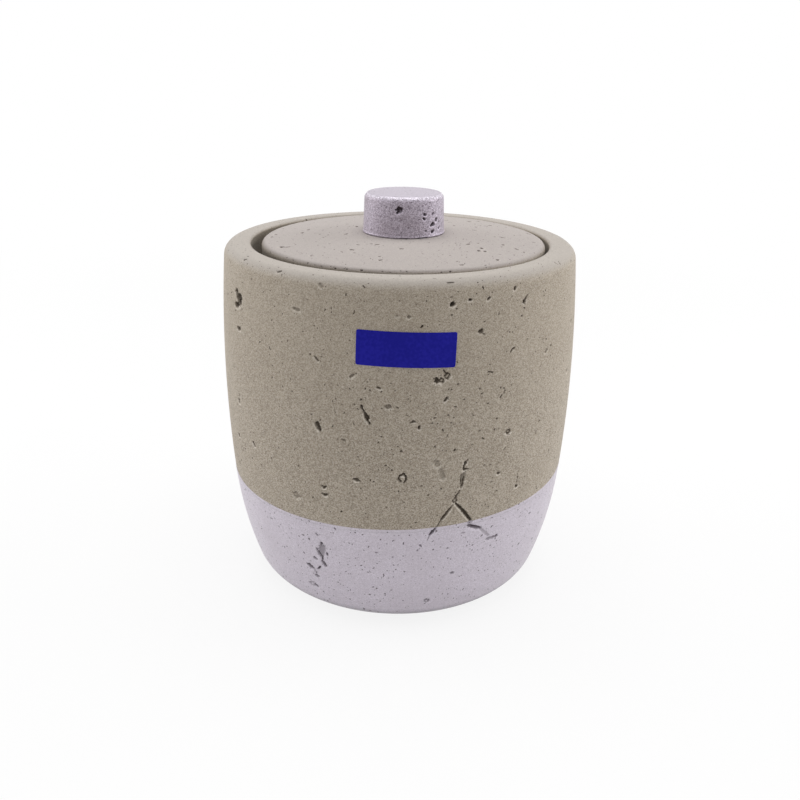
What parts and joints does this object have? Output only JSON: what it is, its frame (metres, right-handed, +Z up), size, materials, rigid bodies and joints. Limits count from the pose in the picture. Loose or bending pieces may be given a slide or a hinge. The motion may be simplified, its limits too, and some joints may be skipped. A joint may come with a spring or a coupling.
{
  "type": "cotton pad holder",
  "caption": "Round cast-concrete jar with a lilac metallic painted base, a loose sunken lid and a screwed-on knob, for keeping cotton pads on a vanity.",
  "frame": {"origin": "centre of the resting face, under the pad in the jar's base", "axes": "+Z up along the jar's axis, the label faces -Y"},
  "size_m": [0.098, 0.098, 0.1078],
  "materials": {
    "concrete": "fine sandy cast concrete, matt, with pits and pinholes",
    "lilac_coat": "lilac metallic paint, satin",
    "lilac_knob": "cast concrete under lilac metallic paint, satin",
    "label_film": "plain blue film label",
    "pad_rubber": "matt foam rubber",
    "seal_silicone": "translucent grey silicone",
    "insert_brass": "turned",
    "fixing_steel": "zinc plated"
  },
  "bodies": {
    "jar": {"jar_body": "concrete", "base_coat": "lilac_coat", "base_pad": "pad_rubber", "label": "label_film"},
    "lid_seal": {"lid_seal_ring": "seal_silicone"},
    "lid": {"lid": "concrete", "knob": "lilac_knob", "knob_insert": "insert_brass", "knob_washer": "fixing_steel", "knob_screw": "fixing_steel"}
  },
  "joints": [
    {"name": "lid_lift", "type": "slide", "parent": "jar", "child": "lid_seal", "axis": [0, 0, 1], "range_m": [0, 0.06]},
    {"name": "lid_turn", "type": "hinge", "parent": "lid_seal", "child": "lid", "pos_m": [0.0009, 0, 0.087], "axis": [0, 0, 1], "continuous": true}
  ]
}
